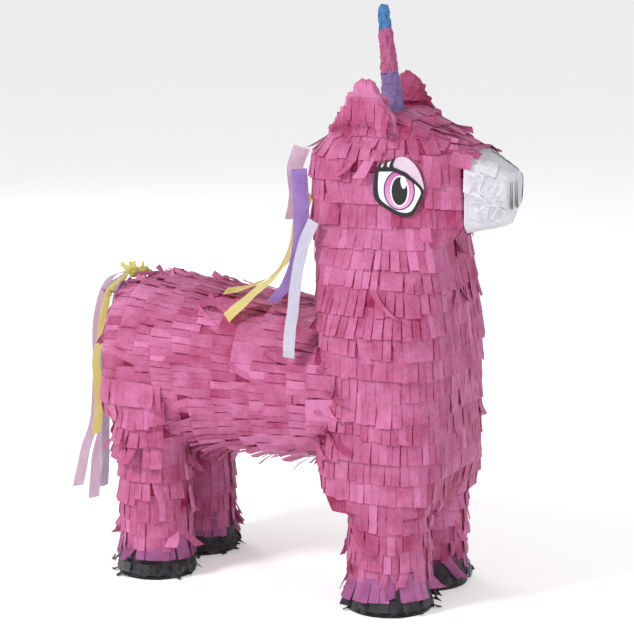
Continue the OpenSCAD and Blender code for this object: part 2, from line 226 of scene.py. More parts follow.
class Paper:
    """Collects grids of points into one mesh, each grid with a tone of its own"""

    def __init__(self):
        self.points, self.faces, self.tones, self.count = [], [], [], 0

    def add(self, grids, tones):
        """grids is (sheets, rows, columns, 3), and tones is one value, or one for each point"""
        grids = np.asarray(grids, float)
        sheets, rows, columns, _ = grids.shape
        first = np.arange((rows - 1) * (columns - 1))
        first = first // (columns - 1) * columns + first % (columns - 1)
        quads = np.stack([first, first + 1, first + columns + 1, first + columns], 1)
        starts = self.count + np.arange(sheets)[:, None, None] * rows * columns
        self.faces.append((quads[None] + starts).reshape(-1, 4))
        self.points.append(grids.reshape(-1, 3))
        self.tones.append(np.broadcast_to(tones, grids.shape[:3]).reshape(-1))
        self.count += sheets * rows * columns

    def finish(self, name, material, body, slot, *replaced):
        points, faces = np.concatenate(self.points), np.concatenate(self.faces)
        mesh = bpy.data.meshes.new(name)
        mesh.from_pydata(points.tolist(), [], faces.tolist())
        mesh.polygons.foreach_set("use_smooth", np.ones(len(faces), bool))
        set_tones(mesh, np.concatenate(self.tones))
        made = piece(mesh, material, body)
        if replaced:
            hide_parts(*replaced)
        return made


def wrinkles(points, size, depth, seed=0.0):
    """Smooth folds at places in space, from a few waves, as a height for each point"""
    local = np.random.default_rng(int(abs(seed) * 1000) + 5)
    total = np.zeros(points.shape[:-1])
    for _ in range(9):
        way = local.normal(size=3)
        way /= np.linalg.norm(way)
        wave = np.abs(np.sin(points @ way * (math.pi / size) * local.uniform(0.5, 1.6)
                             + local.uniform(0, FLAT_TURN)))
        total += 1 - wave
    return depth * (total / 9 - 0.36) * 2.6


def curve(a, b, c, d, parts):
    """Smooth curves from each point of b towards that of c, which come from a and go on to d"""
    line = [0.5 * (2 * b + (c - a) * t + (2 * a - 5 * b + 4 * c - d) * t ** 2
                   + (3 * b - a - 3 * c + d) * t ** 3) for t in np.arange(parts) / parts]
    return np.stack(line, 1).reshape(-1, a.shape[1])


def all_round(lift, columns):
    """Directions in rows that go round the upright axis, each row at its own angle of lift"""
    lift, turn = lift[:, None], np.linspace(0, FLAT_TURN, columns)[None, :]
    return np.stack([np.cos(lift) * np.cos(turn), np.cos(lift) * np.sin(turn),
                     np.sin(lift) + 0 * turn], -1)


# ---- the card forms


def tree_of(*names):
    """One search tree over the surfaces of several CAD nodes"""
    points, faces = [], []
    for name in names:
        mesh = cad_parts[name].data
        base = len(points)
        points += [v.co.copy() for v in mesh.vertices]
        faces += [[base + i for i in p.vertices] for p in mesh.polygons]
    return BVHTree.FromPolygons(points, faces)


def between(table, i, k):
    """A table's values between its entries. Its columns may go round"""
    i, k = np.broadcast_arrays(i, k)
    i0, k0 = i.astype(int), np.floor(k).astype(int)
    down, along = i - i0, k - k0
    k0 = k0 % table.shape[1]
    k1 = (k0 + 1) % table.shape[1]
    return ((table[i0, k0] * (1 - along) + table[i0, k1] * along) * (1 - down)
            + (table[i0 + 1, k0] * (1 - along) + table[i0 + 1, k1] * along) * down)


class Form:
    """A surface, as its distance from a straight axis at each level and angle.
    An upright axis has its levels along Z, and angle 0 faces +X.
    A lying axis has its levels along X, and angle 0 faces +Y."""

    def __init__(self, names, upright, centre, low, high, reach=0.4, step=2 * MM, turns=300,
                 widest=1.0):
        tree = tree_of(*names)
        self.upright, self.centre = upright, centre
        self.low, self.step, self.turns = low, step, turns
        levels = int(round((high - low) / step)) + 1
        table = np.full((levels, turns), np.nan)
        for i, k in np.ndindex(levels, turns):
            way = Vector(self.way(np.array(FLAT_TURN * k / turns)))
            start = Vector(self.middle(np.array(low + i * step))) + way * reach
            hit = tree.ray_cast(start, -way, reach)
            if hit[0] is not None:
                table[i, k] = reach - hit[3]
        table = np.minimum(self.filled(table), widest)
        for axis, by in ((0, 1), (0, -1), (1, 1), (1, -1)):
            moved = np.roll(table, by, axis)
            if axis == 0:
                moved[0 if by == 1 else -1] = 0
            table = np.maximum(table, moved)
        self.table = table

    @staticmethod
    def filled(table):
        """Gives a level with no surface at some angle the distance of the nearest level that has one"""
        for order in (range(1, len(table)), range(len(table) - 2, -1, -1)):
            back = 1 if order.step == 1 else -1
            for i in order:
                gap = np.isnan(table[i])
                table[i, gap] = table[i - back, gap]
        return np.nan_to_num(table, nan=0.01)

    def way(self, angle):
        c, s, o = np.cos(angle), np.sin(angle), np.zeros_like(angle, float)
        return np.stack([c, s, o] if self.upright else [o, c, s], -1)

    def middle(self, level):
        a, b = (np.full_like(level, c, dtype=float) for c in self.centre)
        return np.stack([a, b, level] if self.upright else [level, a, b], -1)

    def radius(self, level, angle):
        i = np.clip((np.asarray(level, float) - self.low) / self.step, 0, len(self.table) - 1.001)
        k = np.mod(np.asarray(angle, float), FLAT_TURN) / FLAT_TURN * self.turns
        return between(self.table, i, k)

    def turn(self, level, angle, side):
        """The angle that is some distance to the side of another angle"""
        return angle + side / np.maximum(self.radius(level, angle), 0.012)

    def place(self, level, angle, out=0.0):
        level, angle = np.broadcast_arrays(np.asarray(level, float), np.asarray(angle, float))
        return self.middle(level) + self.way(angle) * (self.radius(level, angle) + out)[..., None]

    def depth(self, points):
        """How far points are below this surface"""
        if self.upright:
            level, a, b = points[..., 2], points[..., 0], points[..., 1]
        else:
            level, a, b = points[..., 0], points[..., 1], points[..., 2]
        a, b = a - self.centre[0], b - self.centre[1]
        return self.radius(level, np.arctan2(b, a)) - np.hypot(a, b)


class Wall:
    """A surface that faces sideways, as its distance from the middle plane at each height and length"""

    def __init__(self, names, sign, low, high, step=2 * MM):
        tree = tree_of(*names)
        self.sign, self.low, self.step = sign, np.array(low), step
        size = ((np.array(high) - low) / step).astype(int) + 1
        self.table = np.full(size, 0.04)
        for i, k in np.ndindex(*size):
            start = Vector((low[1] + k * step, sign * 0.12, low[0] + i * step))
            hit = tree.ray_cast(start, Vector((0, -sign, 0)), 0.08)
            if hit[0] is not None:
                self.table[i, k] = abs(hit[0].y)

    def radius(self, level, angle):
        i = np.clip((level - self.low[0]) / self.step, 0, self.table.shape[0] - 1.001)
        k = np.clip((angle - self.low[1]) / self.step, 0, self.table.shape[1] - 1.001)
        return between(self.table, i, k)

    def turn(self, level, angle, side):
        return angle + side

    def place(self, level, angle, out=0.0):
        level, angle = np.broadcast_arrays(np.asarray(level, float), np.asarray(angle, float))
        return np.stack([angle, self.sign * (self.radius(level, angle) + out), level], -1)


BARREL_PANELS = ["barrel_back_panel", "barrel_belly_panel", "barrel_left_panel",
                 "barrel_right_panel", "fill_flap"]
HIND_BODY = ["barrel_left_panel", "barrel_right_panel", "barrel_belly_panel", "rump_shell"]
chest_low, chest_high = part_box("chest_shell")
head_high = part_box("head_shell")[1]
barrel_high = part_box("barrel_left_panel")[1]
back_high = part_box("barrel_back_panel")[1]
belly_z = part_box("barrel_belly_panel")[0].z
rump_low, rump_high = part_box("rump_shell")
leg_box = {leg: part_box(leg + "_leg_tube") for leg in
           ("front_left", "front_right", "hind_left", "hind_right")}
column_x = (chest_low.x + chest_high.x) / 2 - 6 * MM

column = Form(["chest_shell", "neck_shell", "head_shell"], True, (column_x, 0),
              chest_low.z, head_high.z)
barrel = Form(BARREL_PANELS + ["rump_shell"], False, (0, (belly_z + back_high.z) / 2),
              rump_low.x + MM, barrel_high.x - MM)
rump = Form(BARREL_PANELS + ["rump_shell"], True, (rump_low.x + 62 * MM, 0),
            belly_z, rump_high.z, reach=0.1)
snout = Form(["head_shell", "muzzle_wrap"], False, (0, 0.40), 0.06, head_high.x + 14 * MM)


def leg_form(leg):
    """A leg and the parts of the body that it meets, up to the height where its rows end"""
    low, high = leg_box[leg]
    around, top, spare = ["chest_shell"], 0.13, 9 * MM
    if leg.startswith("hind"):
        around, top, spare = HIND_BODY, 0.2, 14 * MM
    centre = ((low.x + high.x) / 2, (low.y + high.y) / 2)
    return Form([leg + "_leg_tube"] + around, True, centre, 3 * MM, top, reach=0.075,
                widest=(high.x - low.x) / 2 + spare)


legs = {leg: leg_form(leg) for leg in leg_box}

# ---- fringe

SLIT = 0.43               # share of a strip's width, from its middle, where its painted slit shade starts
ALONG = np.linspace(0, 1, 9)[None, :, None]
ACROSS = np.array([-0.5, -SLIT, 0, SLIT, 0.5])[None, None, :]
WIDTHS = (0.75, 0.9, 1.0, 1.1, 1.25, 1.9, 2.8)     # of strips, as shares of the usual width
CHANCES = (0.1, 0.2, 0.27, 0.2, 0.11, 0.08, 0.04)  # of each of these widths
WILD_WIDTH = 13 * MM      # a wider strip always lies in its row
PAINTED_GLINTS = 0.12             # share of strips painted lighter, as painted highlights
TONE_SCALE = 0.55         # of the tone that a strip's material takes


def row(form, level, start, end, width=STRIP, wave=0.0, sheet=0.085, uneven=1.0 * MM):
    """Strips side by side along a row: their levels, angles, widths and the sheet that each is cut in"""
    fine = np.linspace(start, end, 500)
    line = level + wave * np.sin(fine * 2 + level * 90)
    points = form.place(line, fine)
    arc = np.concatenate([[0], np.cumsum(np.linalg.norm(np.diff(points, axis=0), axis=1))])
    widths = width * rng.choice(WIDTHS, size=int(arc[-1] / width * 2) + 4, p=CHANCES)
    edges = np.concatenate([[0], np.cumsum(widths)])
    edges = edges[edges < arc[-1]]
    middle, size = (edges[1:] + edges[:-1]) / 2, np.diff(edges)
    ends = np.cumsum(sheet * rng.uniform(0.45, 1.4, size=len(middle) + 2))
    group = np.searchsorted(ends, middle)
    shift = rng.normal(0, uneven, size=group.max() + 1)[group]
    tilt = rng.normal(0, 0.018, size=group.max() + 1)[group]
    offset = middle - np.concatenate([[0], ends])[group]
    angle = np.interp(middle, arc, fine)
    return {"level": np.interp(angle, fine, line) + shift + tilt * offset, "angle": angle,
            "width": size, "group": group}


def loose(count, level, angle, width=STRIP):
    """Single strips at random places between two levels and between two angles"""
    return {"level": rng.uniform(*sorted(level), count), "angle": rng.uniform(*sorted(angle), count),
            "width": width * rng.uniform(0.6, 1.3, count), "group": np.arange(count)}


def keep(cells, mask):
    return {name: values[mask] for name, values in cells.items()}


def each(values):
    """A value for each strip, or one for all of them, in the shape of the strips' grids"""
    return np.reshape(values, (-1, 1, 1))


def strip_tones(count, shared):
    """A tone for each point. Some strips get a painted highlight, and painted shade darkens their cut
    edges towards the tip, for the shadow in the slits between strips
    """
    # painted highlight: some strips are made lighter, as if they caught the light
    painted_glint = (rng.random(count) < PAINTED_GLINTS) * rng.uniform(0.15, 0.45, count)
    own = np.clip(0.48 + shared + rng.normal(0, 0.07, count) + painted_glint, 0.05, 1.0)
    # painted shade: the cut edges darken towards the tip, for the shadow in the slits between strips
    slit_shade = each(rng.uniform(0.05, 0.55, count)) * (np.abs(ACROSS) > SLIT + 0.01) * (0.4 + 0.6 * ALONG)
    return np.clip(each(own) - slit_shade, 0, 1) * TONE_SCALE


def hang(paper, form, cells, length=1.45 * ROW, run=-1, under=0.8 * MM, over=2.2 * MM, mess=0.04,
         droop=0.0, wild_lean=0.3, wild_lift=6 * MM, wild_curl=1.4 * MM, tone=0.0):
    """Lays one strip for each cell. Its root is on the surface, and its free end stands off it"""
    count = len(cells["angle"])
    if not count:
        return
    s, w = ALONG, ACROSS

    def spread(usual, for_wild):
        return rng.normal(0, usual, count) + wild * rng.normal(0, for_wild, count)

    wild = (rng.random(count) < mess) & (cells["width"] < WILD_WIDTH)
    group = np.unique(cells["group"], return_inverse=True)[1]
    sheet_lift = rng.uniform(0.45, 1.7, size=group.max() + 1)[group]
    sheet_tone = rng.normal(0, 0.07, size=group.max() + 1)[group]
    lengths = length * (1 + rng.normal(0, 0.02, count) + wild * rng.uniform(-0.3, 0.2, count))
    lean, bow, twist = spread(0.014, wild_lean), spread(0.012, wild_lean), spread(0.05, 0.8)
    tip = over * sheet_lift * rng.uniform(0.75, 1.25, count)
    tip += wild * rng.uniform(0.1, 1, count) * wild_lift
    cup = rng.normal(0, 0.25 * MM, count)
    kink = rng.uniform(0.35, 0.8, count)
    bend = spread(0.25 * MM, wild_curl)
    far = form.radius(cells["level"] + run * lengths, cells["angle"])
    slope = np.abs(far - form.radius(cells["level"], cells["angle"])) / lengths
    level = each(cells["level"]) + run * each(lengths / np.sqrt(1 + np.minimum(slope, 1.5) ** 2)) * s
    level = level + 0 * w
    narrow = 1 - each(rng.uniform(0.0, 0.07, count)) * s
    side = each(cells["width"]) * w * narrow + each(lean * lengths) * s + each(bow * lengths) * s ** 2
    angle = form.turn(level, each(cells["angle"]), side)
    out = (each(under + rng.uniform(0, 0.5, count) * MM) + each(tip) * s ** 1.5
           + each(cup) * (1 - 4 * w ** 2) * s + each(twist * cells["width"]) * w * s
           + each(bend) * np.exp(-((s - each(kink)) / 0.14) ** 2)
           + rng.normal(0, 0.07 * MM, (count, s.size, w.size)) * np.minimum(2 * s, 1))
    points = form.place(level, angle, np.maximum(out, 0.25 * MM))
    points[..., 2] -= each(droop) * s ** 1.6 * np.ones_like(w)
    paper.add(points, strip_tones(count, tone + sheet_tone))


def skin(paper, form, low, high, start=0.0, end=FLAT_TURN, out=0.2 * MM, rows=60, columns=260):
    """The layer of paper that the rows are glued on, given a low tone as painted shade for the slits
    between strips. Its start and end may change with the level
    """
    level = np.linspace(low, high, rows)[:, None]
    share = np.linspace(0, 1, columns)[None, :]
    start, end = (np.broadcast_to(a, rows)[:, None] for a in (start, end))
    # tone 0.05 paints this layer dark, as the shade seen between the strips
    paper.add(form.place(level, start + (end - start) * share, out)[None], 0.05)


def steps(top, bottom, step=ROW):
    return np.arange(top, bottom, -step)


def middle_of(cells, form):
    return form.place(cells["level"], cells["angle"])


# ---- eyes

EYE_TURN = math.radians(7.6)
PRINT_WIDE, PRINT_HIGH = 0.95, 0.97   # scale of the printed shapes, along the sticker and up
PRINT_SHIFT = -1.2        # millimetres that they lie to the rear
LAYER = 0.09 * MM         # step from one printed layer to the next
FLATTENED = (26 * MM, 29.5 * MM)   # half sizes of the flat place under a sticker
BELOW_STICKER = -0.9 * MM          # how far out the paper under it may come
EYE = {side: Vector((0.144, sign * 0.0551, 0.401)) for side, sign in SIDES.items()}


def eye_axes(side):
    """Directions at an eye: towards the muzzle, up, and out of the sticker"""
    sign = SIDES[side]
    along = Vector((math.cos(EYE_TURN), -sign * math.sin(EYE_TURN), 0))
    out = Vector((math.sin(EYE_TURN), sign * math.cos(EYE_TURN), 0))
    return along, Vector((0, 0, 1)), out


def press_under_eyes(paper):
    """Pushes the paper under each eye sticker flat, so that nothing comes through it"""
    for side in SIDES:
        along, up, out = (np.array(a) for a in eye_axes(side))
        for points in paper.points:
            place = points - np.array(EYE[side])
            u, v, w = place @ along, place @ up, place @ out
            inside = (u / FLATTENED[0]) ** 2 + (v / FLATTENED[1]) ** 2 < 1
            inside &= w > BELOW_STICKER
            points[inside] -= (w[inside] - BELOW_STICKER)[:, None] * out


def oval(centre, radii):
    angle = np.linspace(0, FLAT_TURN, 48, endpoint=False)
    return [(centre[0] + radii[0] * math.cos(a), centre[1] + radii[1] * math.sin(a)) for a in angle]


def rounded(outline, parts=6):
    """A closed smooth outline through some points"""
    points = np.array(outline, float)
    return curve(np.roll(points, 1, 0), points, np.roll(points, -1, 0), np.roll(points, -2, 0), parts)


def printed(name, side, layer, material, outline):
    """One printed shape of an eye, in millimetres from its middle, at its own thin layer"""
    along, up, out = eye_axes(side)
    centre = EYE[side] + out * layer * LAYER
    points = [centre + along * (u * PRINT_WIDE + PRINT_SHIFT) * MM + up * v * PRINT_HIGH * MM
              for u, v in outline]
    return flat_print(name, points, material)


LASHES = [[(-21.0, 14.0), (-21.2, 18.4), (-17.0, 24.0), (-18.0, 18.8), (-17.0, 14.8)],
          [(-14.8, 15.2), (-15.4, 20), (-10.6, 26.8), (-12.0, 20.4), (-10.8, 15.6)],
          [(-8.6, 15.8), (-9.0, 21.4), (-3.4, 29.0), (-5.8, 21.4), (-4.2, 15.8)]]


IRIS = faded("iris_print", (214, 150, 194), (178, 84, 144), 0.398, 0.016)
IRIS_RIM = plain("iris_rim_print", (70, 26, 84), (84, 34, 96), roughness=0.42)
RING = plain("pupil_ring_print", (238, 226, 240), (246, 238, 246), roughness=0.42)
IRIS_MIDDLE, PUPIL_MIDDLE = (0.5, -3.0), (0.8, -3.7)
EYE_SHAPES = [
    ("eye_rim", 4, INK,
     rounded([(-24, 12), (-24.4, -11), (-9.2, -23), (3.1, -27.3), (13.9, -25.6), (21.6, -12.6),
              (24.2, -2), (15.5, 7.6), (5, 14), (-6, 18), (-18.5, 17.4)])),
    ("eye_backing", 1, INK, oval((0, 0), (21, 25.5))),
    ("eye_lid", 3, LID,
     rounded([(-6, 16), (-4.4, 25), (1, 28.4), (8, 27.6), (15.8, 21.6), (21.8, 11.4),
              (24.4, -1.4), (14, 8), (5, 13)])),
    ("lash_gaps", 5, SCLERA,
     rounded([(-19, 15), (-17.4, 20), (-12, 22.4), (-6.4, 23.8), (-5, 16)])),
    ("eye_white", 5, SCLERA,
     rounded([(-20.2, 11.5), (-19.6, -9.6), (-8.4, -19), (3.1, -23.6), (12.3, -22), (18.6, -12),
              (21.6, -3.2), (14.6, 4.6), (5, 10.6), (-5.4, 14.6), (-17, 14.2)])),
    ("iris_rim", 6, IRIS_RIM, oval(IRIS_MIDDLE, (15.6, 18.8))),
    ("iris", 7, IRIS, oval(IRIS_MIDDLE, (14.3, 17.5))),
    ("pupil_ring", 8, RING, oval(PUPIL_MIDDLE, (9.3, 14.6))),
    ("pupil_edge", 9, IRIS_RIM, oval(PUPIL_MIDDLE, (8.0, 13.3))),
    ("pupil", 10, INK, oval(PUPIL_MIDDLE, (7.3, 12.6))),
    ("glint", 11, SCLERA,
     rounded([(4.4, 11.6), (1.8, 7.6), (2.6, 1.6), (5.0, -1.4), (7.6, 2), (7.4, 7.4)])),
    ("lid_line", 12, INK,
     rounded([(-19, 17.6), (-5, 18.2), (6.1, 13.6), (15.6, 7.4), (24.2, -1.6), (14.6, 4.6),
              (5, 10.4), (-5.4, 14.4), (-17.6, 14.2)])),
] + [(f"lash_{number}", 13, INK, rounded(lash, 4)) for number, lash in enumerate(LASHES)]


def eye(side):
    """An eye's printed shapes, each at its own layer, which take the place of the hidden sticker"""
    base = [printed(f"{side}_{name}", side, *shape) for name, *shape in EYE_SHAPES][0]
    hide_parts(side + "_eye_sticker")


for side in SIDES:
    eye(side)

# ---- chest, neck and head

first_row = chest_low.z + 42 * MM
SNOUT_LEVEL, BROW_LEVEL = 0.385, 0.44   # where the snout starts, and where the forehead is wider
ROOTS = {"chest": first_row + ROW * np.arange(0, 8), "neck": first_row + ROW * np.arange(8, 12),
         "head": first_row + ROW * np.arange(12, 17)}


def not_in_barrel(points):
    buried = (barrel.depth(points) > 2 * MM) & (points[..., 0] < barrel_high.x)
    return ~(buried & (points[..., 2] < back_high.z))


def column_rows(name, mess):
    """Level rows round the chest, neck or head, left out where the barrel or the muzzle joins"""
    paper = Paper()
    low = chest_low.z if name == "chest" else ROOTS[name][0] - 18 * MM
    high = head_high.z if name == "head" else ROOTS[name][-1] + 2 * MM
    skin(paper, column, low, high, rows=90)
    for level in ROOTS[name][::-1]:
        cells = row(column, level, -math.pi, math.pi, wave=1.4 * MM)
        shown = not_in_barrel(middle_of(cells, column))
        in_front = math.radians(21 if level < BROW_LEVEL else 36)
        shown &= ~((np.abs(cells["angle"]) < in_front) & (level > SNOUT_LEVEL))
        hang(paper, column, keep(cells, shown), mess=mess)
    return paper


def chest():
    paper = column_rows("chest", 0.05)
    for sign in (-1, 1):
        junction = loose(34, (0.15, 0.25), (sign * 2.0, sign * 2.35))
        hang(paper, column, junction, mess=1, wild_lean=1.0, wild_lift=7 * MM, length=20 * MM)
    paper.finish("chest_tissue", PINK, "body", "pink_tissue", "chest_fringe")


def neck():
    column_rows("neck", 0.05).finish("neck_tissue", PINK, "body", "pink_tissue", "neck_fringe")


def crest_and_nape(paper):
    """Three wide strips that stand off the back of the head, and a row from its top"""
    crest = {"level": np.array([0.448, 0.444, 0.450]), "angle": np.radians([-163.0, 172.0, -178.0]),
             "width": np.array([15, 19, 12]) * MM, "group": np.arange(3)}
    hang(paper, column, crest, length=25 * MM, over=8 * MM)
    nape = row(column, head_high.z - 2.5 * MM, math.radians(100), math.radians(260))
    hang(paper, column, nape, length=24 * MM, mess=0.1)


def muzzle_edges(paper):
    """Strips at both sides of the face, which lie over the edge of the muzzle's paper"""
    for middle in (math.radians(37), math.radians(143)):
        cells = row(snout, 0.187, middle - 0.38, middle + 0.38)
        low = np.abs(cells["angle"] - math.pi / 2)
        hang(paper, snout, cells, run=1, length=np.interp(low, [0.6, 1.2], [27 * MM, 12 * MM]),
             under=1.6 * MM, over=1.2 * MM)


def forehead(paper):
    """Rows that run down the forehead's slope to the muzzle, and rows that run back over its top"""
    top = (math.radians(42), math.radians(138))
    skin(paper, snout, 0.06, head_high.x - 2 * MM, *top, rows=60, columns=70)
    for x, reach in ((0.186, 17), (0.172, 24), (0.156, 26), (0.139, 26), (0.122, 26)):
        hang(paper, snout, row(snout, x, *top, width=6 * MM), run=1, length=reach * MM, mess=0.08,
             over=1.4 * MM)
    for x in (0.072, 0.088, 0.103):
        hang(paper, snout, row(snout, x, 1.0, 2.14), run=-1, length=15 * MM, mess=0.1)


def head():
    paper = column_rows("head", 0.08)
    crest_and_nape(paper)
    muzzle_edges(paper)
    forehead(paper)
    press_under_eyes(paper)
    paper.finish("head_tissue", PINK, "body", "pink_tissue", "head_fringe")


chest()
neck()
head()

# ---- barrel, flap and rump

flap_low, flap_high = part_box("fill_flap")
FLAP_SIDE = flap_high.y
TOP_HALF = 0.25           # height above which a point of the barrel can be at the flap


def side_angle(level, y):
    """The angle at which the barrel's back is that far from its middle"""
    angle = np.full_like(np.asarray(level, float), math.pi / 2)
    for _ in range(8):
        angle = np.arccos(y / barrel.radius(level, angle))
    return angle


def on_flap(points):
    x, y, z = points[..., 0], points[..., 1], points[..., 2]
    return (x > flap_low.x) & (x < flap_high.x + MM) & (np.abs(y) < FLAP_SIDE) & (z > TOP_HALF)


def clear_of_flap(cells):
    """Moves strips beside the flap off its edges, so that the flap can turn up past them"""
    points = middle_of(cells, barrel)
    x, z = points[:, 0], points[:, 2]
    near = (x > flap_low.x) & (x < flap_high.x + 24 * MM) & (z > TOP_HALF)
    for sign in (-1, 1):
        gap = sign * points[:, 1] - FLAP_SIDE
        half = cells["width"] / 2
        push = np.where(np.abs(gap) < half, half - np.abs(gap), 0) * np.sign(gap)
        radius = barrel.radius(cells["level"], cells["angle"])
        cells["angle"] -= sign * np.where(near, push, 0) / radius
    return cells


def barrel_and_flap():
    """Bands round the barrel, whose strips lie along it with their free ends to the rear"""
    body, flap = Paper(), Paper()
    for low, high in ((rump_low.x + 2 * MM, flap_low.x), (flap_high.x, barrel_high.x - MM)):
        skin(body, barrel, low, high, rows=30)
    zone = np.linspace(flap_low.x, flap_high.x, 24)
    left, right = side_angle(zone, FLAP_SIDE), side_angle(zone, -FLAP_SIDE)
    skin(body, barrel, flap_low.x, flap_high.x, right, left + FLAT_TURN, rows=24)
    skin(flap, barrel, flap_low.x, flap_high.x, left, right, rows=24, columns=40)
    front_roots = steps(barrel_high.x - 4 * MM, flap_high.x + 8 * MM)
    for x in np.concatenate([front_roots, steps(flap_high.x - 0.5 * MM, rump_low.x + 6 * MM)]):
        cells = clear_of_flap(row(barrel, x, -math.pi / 2, math.pi * 1.5, wave=1.2 * MM, uneven=0.7 * MM))
        points = middle_of(cells, barrel)
        root_x = points[:, 0]
        inside = column.depth(points) > 3 * MM
        top = np.maximum(np.sin(cells["angle"]), 0)
        below = np.maximum(-np.sin(cells["angle"]), 0)
        fall = below ** 4 * rng.uniform(4, 17, len(below)) * MM
        lengths = np.minimum(1.4 * ROW, root_x - rump_low.x - MM)
        ahead = (root_x > flap_high.x) & (np.abs(points[:, 1]) < FLAP_SIDE) & (top > 0.5)
        lengths = np.where(ahead, np.minimum(lengths, root_x - flap_high.x), lengths)
        lid = on_flap(points)
        for paper, chosen in ((body, ~inside & ~lid & (lengths > 4 * MM)), (flap, lid)):
            some = keep(cells, chosen)
            hang(paper, barrel, some, mess=0.07, length=lengths[chosen], droop=fall[chosen],
                 over=1.8 * MM + 0.8 * MM * below[chosen])
    crumple_back(body, flap)
    flap.finish("flap_tissue", PINK_ALONG, "flap", "pink_tissue", "flap_fringe")
    body.finish("barrel_tissue", PINK_ALONG, "body", "pink_tissue", "barrel_fringe")


def crumple_back(body, flap):
    """Long crumpled strips along the top of the back, and a tuft at the rump"""
    long_ones = loose(64, (-0.15, 0.045), (math.radians(52), math.radians(128)), 5 * MM)
    points = middle_of(long_ones, barrel)
    tips = points - np.array([0.045, 0, 0])
    lid = on_flap(points)
    body_only = ~lid & ~on_flap(tips)
    for paper, chosen in ((body, body_only), (flap, lid)):
        hang(paper, barrel, keep(long_ones, chosen), mess=1, length=34 * MM, wild_lean=0.1,
             wild_lift=2.5 * MM, wild_curl=1.4 * MM)
    tuft = loose(16, (-0.158, -0.138), (math.radians(66), math.radians(114)), 5 * MM)
    hang(body, barrel, tuft, mess=1, length=20 * MM, wild_lean=0.9, wild_lift=8 * MM)


def rump_end():
    """Rows that hang down the flat end of the rump"""
    paper = Paper()
    skin(paper, rump, belly_z + MM, rump_high.z - 12 * MM, math.pi * 0.72, math.pi * 1.28, out=0)
    for z in steps(rump_high.z - 10 * MM, belly_z + 8 * MM)[::-1]:
        cells = row(rump, z, math.pi * 0.6, math.pi * 1.4)
        rear = middle_of(cells, rump)[:, 0] < rump_low.x + 9 * MM
        hang(paper, rump, keep(cells, rear), mess=0.06)
    paper.finish("rump_tissue", PINK, "body", "pink_tissue", "rump_fringe")


barrel_and_flap()
rump_end()

# ---- legs

FRONT_ROWS = [(56, 30), (73, 46), (92, 61), (116, 79)]
HIND_ROWS = [(54, 29), (70, 43), (88, 61), (106, 80), (126, 99), (144, 116)]
HAUNCH_ROWS = [(144, 117), (163, 136), (181, 154), (197, 172)]


def leg_side(leg):
    """Angles from the front of a haunch, round its outside, to the back of the rump"""
    if leg.endswith("right"):
        return math.radians(-192), math.radians(-48)
    return math.radians(48), math.radians(192)


def hanging_rows(paper, form, rows, start, end, under=0.5 * MM, over=2.2 * MM, mess=0.14):
    for top, bottom in rows:
        cells = row(form, top * MM, start, end, wave=1.2 * MM)
        hang(paper, form, cells, length=(top - bottom) * MM, mess=mess, under=under, over=over)


def leg(name):
    form, paper = legs[name], Paper()
    hind = name.startswith("hind")
    skin(paper, form, 36 * MM, 0.15 if hind else 0.125, rows=60, columns=130)
    hanging_rows(paper, form, HIND_ROWS if hind else FRONT_ROWS, 0, FLAT_TURN)
    if hind:
        hanging_rows(paper, form, HAUNCH_ROWS, *leg_side(name), under=3.5 * MM, over=4.5 * MM)
    paper.finish(name + "_leg_tissue", PINK, "body", "pink_tissue", name + "_leg_fringe")
    band, foot = Paper(), 20 if hind else 14
    skin(band, form, 16 * MM, 44 * MM, rows=12, columns=80, out=0.5 * MM)
    hanging_rows(band, form, [(foot + 25, foot)], 0, FLAT_TURN, over=5.6 * MM, mess=0.12)
    band.finish(name + "_ankle_tissue", MAUVE, "body", "mauve_tissue", name + "_ankle_band")


OVER_TUBE = 1.2 * MM      # least distance of a hoof's paper from the leg's card


def hoof(name):
    """Crumpled paper that bulges round the foot, with torn tips on the floor"""
    low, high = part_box(name + "_hoof_wrap")
    centre = np.array([(low.x + high.x) / 2, (low.y + high.y) / 2])
    radius = (high.x - low.x) / 2
    turn = np.linspace(0, FLAT_TURN, 97)[None, :]
    share = np.linspace(0, 1, 15)[:, None]
    outwards = np.stack([np.cos(turn), np.sin(turn)], -1)
    height = 0.5 * MM + 25 * MM * np.maximum(share - 0.12, 0) / 0.88 + 0 * turn
    bulge = np.interp(share, [0, 0.12, 0.3, 0.5, 0.7, 1], [-9, -4.5, -1.4, -2.4, -4.6, -6]) * MM + radius
    seed = centre.sum() * 7
    points = np.concatenate([centre + outwards * (bulge + 0 * turn)[..., None], height[..., None]], -1)
    crease = wrinkles(points, 16 * MM, 4.4 * MM, seed) + wrinkles(points, 6 * MM, 2.0 * MM, seed + 1)
    crease += wrinkles(points, 34 * MM, 2.5 * MM, seed + 3)
    tube = (leg_box[name][1].x - leg_box[name][0].x) / 2
    crease = np.maximum(crease * np.interp(share, [0, 0.5, 1], [1, 1, 0.3]), tube + OVER_TUBE - bulge)
    points[..., :2] += outwards * crease[..., None]
    points[..., 2] += wrinkles(points, 13 * MM, 1.2 * MM, seed + 2) * (share > 0.2) * (share < 0.95)
    points[..., 2] = np.maximum(points[..., 2], 0.5 * MM)
    paper = Paper()
    paper.add(points[None], 0.25)
    form = Form([name + "_hoof_wrap"], True, centre, 2 * MM, high.z - MM, reach=0.08, turns=150)
    strips = row(form, high.z - 3 * MM, 0, FLAT_TURN, width=7 * MM, uneven=1.5 * MM)
    strips = keep(strips, rng.random(len(strips["angle"])) < 0.6)
    hang(paper, form, strips, length=high.z - 9 * MM, mess=0.5, wild_lean=0.25, wild_lift=4 * MM,
         over=1.5 * MM, tone=-0.1)
    for angle in rng.uniform(0, FLAT_TURN, 9):
        paper.add(torn_tip(centre, radius, angle)[None], 0.25)
    paper.finish(name + "_hoof_tissue", BLACK, "body", "black_tissue", name + "_hoof_wrap")


